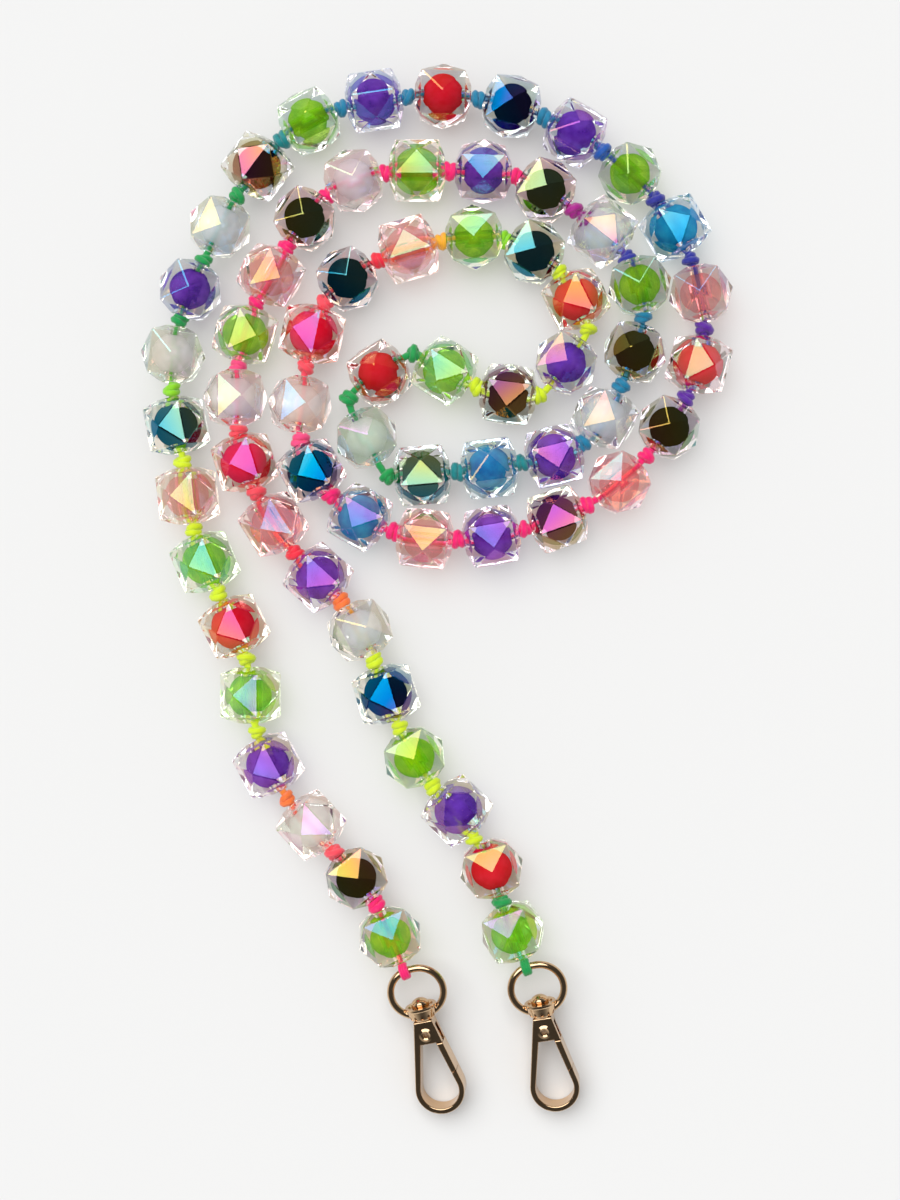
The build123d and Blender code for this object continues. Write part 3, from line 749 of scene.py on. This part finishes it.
def make_clear_material(name, clear, film_group, shadow, film_ior):
    """Smooth acrylic with a film on it. Shadow rays, light on its way from one dull surface to another,
    and light that has turned inside the bead many times pass straight through, tinted a little."""
    material, tree, shader = new_material(name)
    film = node(tree, "ShaderNodeGroup", node_tree=film_group)
    film.inputs["Clear"].default_value = (*colour(clear), 1)
    tree.links.new(film.outputs["Color"], shader.inputs["Base Color"])
    tree.links.new(film.outputs["Thickness"], shader.inputs["Thin Film Thickness"])
    set_inputs(shader, {**ACRYLIC, "Thin Film IOR": film_ior})
    through = node(tree, "ShaderNodeBsdfTransparent")
    through.inputs["Color"].default_value = (*colour(shadow), 1)
    path = node(tree, "ShaderNodeLightPath")
    deep = math_node(tree, "GREATER_THAN", path.outputs["Ray Depth"], TURNS_INSIDE)
    mix_surface(tree, math_node(tree, "MAXIMUM", unseen_rays(tree, path), deep), shader, through)
    return material


film_group = make_film_group()
clear_materials = {name: make_clear_material(f"clear_acrylic_{name}", clear, film_group, shadow,
                                             FILM_INDEX.get(name, FAINT_FILM))
                   for name, (clear, shadow) in CLEARS.items()}
print(len(clear_materials), "clear materials")

# %% [markdown]
# ## The colours inside
# The balls are cast resin of the same index as the bead, so they have no shine of their own, with the
# pigment a little uneven in it. The dark one is nearly black, so that what the bead shows there is the
# colours of its film. The others are partly clear, and the cord shows through them.

# %% The colours inside
PIGMENTS = {"black": ("020103", "070409"), "blue": ("0a86cc", "2cc0ee"), "green": ("88dc00", "ccff10"),
            "pink": ("ffc4c8", "ffdfe0"), "purple": ("6420b8", "9850ee"), "red": ("f40024", "ff2440"),
            "white": ("f6f6f4", "ffffff")}
CLEARNESS = {"black": 0.0, "blue": 0.5, "green": 0.76, "pink": 0.93, "purple": 0.6, "red": 0.3,
             "white": 0.62}
PALER = 0.35
PLAIN_SHARE = 0.8
CLOUD = {"Scale": 260, "Detail": 3}
CLOUD_EDGES = (0.35, 0.68)
RESIN = {"Roughness": 0.6, "Specular IOR Level": 0.0}


def make_core_material(name, deep, light):
    """Cast resin with cloudy pigment between two shades, part of it clear and tinted by the pigment.
    Light on its way between dull surfaces meets a greyer ball, so that the floor keeps its colour."""
    material, tree, shader = new_material(f"core_{name}")
    place = node(tree, "ShaderNodeTexCoord")
    cloud = node(tree, "ShaderNodeTexNoise")
    set_inputs(cloud, CLOUD)
    tree.links.new(place.outputs["Object"], cloud.inputs["Vector"])
    ramp = node(tree, "ShaderNodeValToRGB")
    for element, at, code in zip(ramp.color_ramp.elements, CLOUD_EDGES, (deep, light)):
        element.position = at
        element.color = (*colour(code), 1)
    tree.links.new(cloud.outputs[0], ramp.inputs[0])
    path = node(tree, "ShaderNodeLightPath")
    plain = node(tree, "ShaderNodeMix", data_type="RGBA")
    tree.links.new(math_node(tree, "MULTIPLY", unseen_rays(tree, path), PLAIN_SHARE), plain.inputs["Factor"])
    tree.links.new(ramp.outputs[0], plain.inputs["A"])
    grey = float(colour(light).mean())
    plain.inputs["B"].default_value = (grey, grey, grey, 1)
    tree.links.new(plain.outputs["Result"], shader.inputs["Base Color"])
    set_inputs(shader, RESIN)
    paler = node(tree, "ShaderNodeMix", data_type="RGBA")
    set_inputs(paler, {"Factor": PALER, "B": (1, 1, 1, 1)})
    tree.links.new(plain.outputs["Result"], paler.inputs["A"])
    clear = node(tree, "ShaderNodeBsdfTransparent")
    tree.links.new(paler.outputs["Result"], clear.inputs["Color"])
    mix_surface(tree, CLEARNESS[name], shader, clear)
    return material


core_materials = {name: make_core_material(name, *shades) for name, shades in PIGMENTS.items()}
print(len(core_materials), "core materials")

# %% [markdown]
# ## All the beads
# A set of beads is one mesh: the template's points are turned into each bead's directions with one
# array product, and the face numbers are shifted by the number of points before them.

# %% All the beads


def copies(points, faces, which):
    """The template repeated at the beads numbered in which: all points and all faces."""
    placed = bead_centres[which][:, None] + np.einsum("pk,nkc->npc", points, bead_axes[which])
    shift = (np.arange(len(which)) * len(points))[:, None, None]
    return placed.reshape(-1, 3), (faces[None] + shift).reshape(-1, faces.shape[1])


bead_dyes = np.concatenate([knot_dyes[:1], (knot_dyes[1:] + knot_dyes[:-1]) / 2, knot_dyes[-1:]])
# Painted light: each bead's colour is pulled a little towards the cord's dye, as if light from the cord
# spread through the clear bead.
bead_painted_cord_light = 1 + (bead_dyes - 1) * PAINTED_CORD_LIGHT_SHARE
NO_QUADS, NO_TRIANGLES = np.zeros((0, 4), int), np.zeros((0, 3), int)


def make_shells(name, which, material, body, slot, *nodes):
    """Clear beads, flat on every facet, with the film's thickness on each point, a thickness for the
    bead plus a drift across it, and a painted light of the cord's colour on the bead."""
    which = np.asarray(which)
    points, triangles = copies(shell_points, shell_triangles, which)
    piece = make_mesh(name, points, NO_QUADS, triangles)
    piece.data.polygons.foreach_set("use_smooth", np.zeros(len(triangles), bool))
    slope = chance.normal(size=(len(which), 3))
    slope /= np.linalg.norm(slope, axis=1, keepdims=True)
    drift = np.einsum("pc,nc->np", shell_points / APEX_REACH, slope) * FILM_DRIFT
    level = [FILMS.get(index, FILM_MIDDLE + FILM_SPREAD * chance.uniform(-1, 1)) for index in which]
    same_colour = STRONG_FILM / FILM_INDEX.get(BEADS[which[0]][0], FAINT_FILM)
    layer = piece.data.attributes.new("film", "FLOAT", "POINT")
    thickness = same_colour * (np.array(level)[:, None] + drift)
    layer.data.foreach_set("value", thickness.astype(np.float32).ravel())
    paint_points(piece.data, "painted_cord_light", np.repeat(bead_painted_cord_light[which], len(shell_points), axis=0))
    return finish_piece(piece, material, body, slot, *nodes)


def make_cores(name, which, material, body, slot, *nodes):
    """The balls of those beads."""
    points, quads = copies(core_points, core_quads, np.asarray(which))
    return finish_piece(make_mesh(name, points, quads, NO_TRIANGLES), material, body, slot, *nodes)


in_coils = range(TAIL_BEADS, len(BEADS) - TAIL_BEADS)
for name in COLOURS:
    which = [index for index in in_coils if BEADS[index][0] == name]
    make_shells(f"{name}_clear_beads", which, clear_materials[name], "strand",
                f"clear_acrylic_{name}", f"clear_shells_{name}")
    make_cores(f"{name}_balls", which, core_materials[name], "strand", f"core_{name}", f"cores_{name}")
for side in ends:
    for number in range(1, TAIL_BEADS + 1):
        index = number - 1 if side == "left" else len(BEADS) - number
        name = BEADS[index][0]
        bead = f"{side}_bead_{number}"
        make_shells(f"{bead}_clear", [index], clear_materials[name], bead, f"clear_acrylic_{name}",
                    f"{bead}_shell")
        make_cores(f"{bead}_ball", [index], core_materials[name], bead, f"core_{name}", f"{bead}_core")
print("beads made in", len(COLOURS), "colours")

# %% [markdown]
# ## The lashings
# The cord's end goes round the wire of each ring and back on itself. Between two and three turns side by
# side make the small band of colour on it. The ring turns inside them, so they stay with the cord.

# %% The lashings
LASH_R = 1.55 * MM
LASH_CORD_R = 0.6 * MM
LASH_HALF_WIDTH = 0.74 * MM
LASH_TURNS = 2.6
LASH_RINGS = 80
joints = {joint["name"]: joint for joint in frame["joints"]}


def lashing_path(axis, centre):
    """A helix round the axis: LASH_TURNS turns over twice the half width."""
    turn = np.linspace(0, 2 * np.pi * LASH_TURNS, LASH_RINGS)
    side = np.cross(axis, (0, 0, 1))
    side /= np.linalg.norm(side)
    up = np.cross(side, axis)
    slide = np.linspace(-1, 1, LASH_RINGS)[:, None] * LASH_HALF_WIDTH
    return centre + axis * slide + LASH_R * (side * np.cos(turn)[:, None] + up * np.sin(turn)[:, None])


for side in ends:
    joint = joints[f"{side}_ring_swing"]
    axis = np.array(joint["axis"], float)
    path = lashing_path(axis, np.array(joint["pos_m"], float))
    arrays = tube_arrays(path, LASH_CORD_R, fixed=tuple(axis), relief=0.05, **TWIST)
    dye = np.tile(end_dyes[side][1], (len(arrays[0]), 1))
    piece = make_mesh(f"{side}_lashing", *arrays, dye=dye)
    finish_piece(piece, cord_material, f"{side}_tail_lower", "cord", f"{side}_end_loop")
print("lashings made")

# %% [markdown]
# ## Gold plate
# The hooks are cast, tumbled and plated in a pale, slightly pink gold. The plating is smooth, so its look
# is mostly reflection. A node group adds what keeps it from looking like a mirror: faint broad changes
# of shade, and a fine unevenness that softens the reflections in places.

# %% Gold plate
BROAD_SCALE = 180
FINE_SCALE = 1500
PLATE_BUMP = {"Strength": 0.08, "Distance": 0.03 * MM}


def make_plate_group():
    """Shade: broad noise between two colours. Roughness: fine noise between two values."""
    group = bpy.data.node_groups.new("gold_plate", "ShaderNodeTree")
    begin, end = group_sockets(
        group,
        [("Color", "NodeSocketColor"), ("Roughness", "NodeSocketFloat"), ("Height", "NodeSocketFloat")],
        [("Deep", "NodeSocketColor", (0.5, 0.35, 0.2, 1)), ("Light", "NodeSocketColor", (0.9, 0.7, 0.5, 1)),
         ("Smooth", "NodeSocketFloat", 0.1), ("Worn", "NodeSocketFloat", 0.25)])
    place = node(group, "ShaderNodeTexCoord")
    broad, fine = (node(group, "ShaderNodeTexNoise") for _ in range(2))
    for noise, scale in ((broad, BROAD_SCALE), (fine, FINE_SCALE)):
        set_inputs(noise, {"Scale": scale, "Detail": 4})
        group.links.new(place.outputs["Object"], noise.inputs["Vector"])
    mixed = node(group, "ShaderNodeMix", data_type="RGBA")
    group.links.new(broad.outputs[0], mixed.inputs["Factor"])
    group.links.new(begin.outputs["Deep"], mixed.inputs["A"])
    group.links.new(begin.outputs["Light"], mixed.inputs["B"])
    group.links.new(mixed.outputs["Result"], end.inputs["Color"])
    rough = node(group, "ShaderNodeMapRange")
    group.links.new(fine.outputs[0], rough.inputs["Value"])
    group.links.new(begin.outputs["Smooth"], rough.inputs["To Min"])
    group.links.new(begin.outputs["Worn"], rough.inputs["To Max"])
    group.links.new(rough.outputs[0], end.inputs["Roughness"])
    group.links.new(fine.outputs[0], end.inputs["Height"])
    return group


def make_metal(name, deep, light, smooth, worn, plate_group):
    """Metal with the plate group's colour, roughness and a very slight bump."""
    material, tree, shader = new_material(name)
    plate = node(tree, "ShaderNodeGroup", node_tree=plate_group)
    set_inputs(plate, {"Deep": (*colour(deep), 1), "Light": (*colour(light), 1),
                       "Smooth": smooth, "Worn": worn})
    tree.links.new(plate.outputs["Color"], shader.inputs["Base Color"])
    tree.links.new(plate.outputs["Roughness"], shader.inputs["Roughness"])
    bump = node(tree, "ShaderNodeBump")
    set_inputs(bump, PLATE_BUMP)
    tree.links.new(plate.outputs["Height"], bump.inputs["Height"])
    tree.links.new(bump.outputs[0], shader.inputs["Normal"])
    set_inputs(shader, {"Metallic": 1.0})
    return material


plate_group = make_plate_group()
gold = make_metal("gold_plate", "c4a17a", "e6c6a0", 0.06, 0.16, plate_group)
steel = make_metal("spring_steel", "8a8a8c", "b4b4b6", 0.2, 0.35, plate_group)
for side in ends:
    for part in ("eye", "swivel_pin", "hook", "gate", "gate_rivet"):
        metal_node = frame["nodes"][f"{side}_{part}"]
        metal_node.data.materials.clear()
        metal_node.data.materials.append(gold)
print("hooks plated")

# %% [markdown]
# ## The gate springs
# A torsion spring sits round the rivet beside the gate's hub. Only its coil is made, a turn and a half of
# wire, without the legs that bear on the hook and the gate. Its place comes from the gate's hinge.

# %% The gate springs
SPRING_R = 1.5 * MM
SPRING_WIRE_R = 0.15 * MM
SPRING_SEATS = (0.58 * MM, 0.9 * MM)
SPRING_TURNS = 1.5
SPRING_RINGS = 60
SPRING_SIDES = 8


def spring_path(centre, normal, lengthways):
    """A helix round the normal, between the two seats, its distances from the middle of the hub."""
    across = np.cross(lengthways, normal)
    turn = np.linspace(0, 2 * np.pi * SPRING_TURNS, SPRING_RINGS)
    seat = np.linspace(*SPRING_SEATS, SPRING_RINGS)[:, None]
    return centre + normal * seat + SPRING_R * (across * np.cos(turn)[:, None]
                                                + lengthways * np.sin(turn)[:, None])


for side in ends:
    hinge, swivel = joints[f"{side}_gate_hinge"], joints[f"{side}_swivel"]
    normal = -np.array(hinge["axis"], float)
    path = spring_path(np.array(hinge["pos_m"], float), normal, np.array(swivel["axis"], float))
    arrays = tube_arrays(path, SPRING_WIRE_R, sides=SPRING_SIDES, fixed=tuple(normal))
    piece = make_mesh(f"{side}_torsion_spring", *arrays)
    finish_piece(piece, steel, f"{side}_snap", "spring_steel", f"{side}_gate_spring")
print("springs made")

# %% [markdown]
# ## Floor and light
# The strap lies on a plain pale surface. A wide soft light stands a little up and to the left of overhead.
# A sun lamp with a wide angle is such a light, the same over the whole strap. The room is pale at its
# edges and dark overhead in what the metal and the facets mirror, and pale all round seen through the
# clear beads, so its brightness depends on the kind of ray that reaches it. The angles are from overhead.

# %% Floor and light
FLOOR_SIZE = 4.0
FLOOR_LOOK = {"Base Color": (0.722, 0.722, 0.718, 1), "Roughness": 0.9, "Specular IOR Level": 0.0}
LIGHT_FROM = Vector((-0.278, 0.397, 0.875))
LIGHT_WIDTH = np.radians(63)
LIGHT_STRENGTH = 2.5
ROOM_SEEN = 0.88
ROOM_FILL = 0.57
MIRROR_LOW = 0.6
MIRROR_HIGH = 0.06
LOW_ANGLE = np.radians(88)
HIGH_ANGLE = np.radians(58)

floor_mesh = bpy.data.meshes.new("floor")
half = FLOOR_SIZE / 2
floor_mesh.from_pydata([(-half, -half, 0), (half, -half, 0), (half, half, 0), (-half, half, 0)], [],
                       [(0, 1, 2, 3)])
floor = bpy.data.objects.new("floor", floor_mesh)
collection.objects.link(floor)
floor_material, floor_tree, floor_shader = new_material("pale_surface")
set_inputs(floor_shader, FLOOR_LOOK)
floor_mesh.materials.append(floor_material)

lamp_data = bpy.data.lights.new("soft_light", "SUN")
lamp_data.energy = LIGHT_STRENGTH
lamp_data.angle = LIGHT_WIDTH
lamp = bpy.data.objects.new("soft_light", lamp_data)
lamp.rotation_euler = LIGHT_FROM.to_track_quat("Z", "Y").to_euler()
collection.objects.link(lamp)

world = bpy.data.worlds.new("room")
world.use_nodes = True
bpy.context.scene.world = world
room = world.node_tree
way = node(room, "ShaderNodeTexCoord")
split = node(room, "ShaderNodeSeparateXYZ")
room.links.new(way.outputs["Generated"], split.inputs[0])
mirrored = node(room, "ShaderNodeMapRange", interpolation_type="SMOOTHSTEP")
set_inputs(mirrored, {"From Min": float(np.cos(LOW_ANGLE)), "From Max": float(np.cos(HIGH_ANGLE)),
                      "To Min": MIRROR_LOW - ROOM_SEEN, "To Max": MIRROR_HIGH - ROOM_SEEN})
room.links.new(split.outputs[2], mirrored.inputs["Value"])
ray = node(room, "ShaderNodeLightPath")
early = math_node(room, "LESS_THAN", ray.outputs["Ray Depth"], TURNS_INSIDE)
mirroring = math_node(room, "MULTIPLY", ray.outputs["Is Glossy Ray"], early)
for_mirrors = math_node(room, "MULTIPLY", mirroring, mirrored.outputs[0])
for_fill = math_node(room, "MULTIPLY", ray.outputs["Is Diffuse Ray"], ROOM_FILL - ROOM_SEEN)
changes = math_node(room, "ADD", for_mirrors, for_fill)
background = room.nodes["Background"]
room.links.new(math_node(room, "ADD", changes, ROOM_SEEN), background.inputs["Strength"])
background.inputs["Color"].default_value = (1, 1, 1, 1)
bpy.context.scene.view_settings.view_transform = "Standard"
print("floor and light placed")
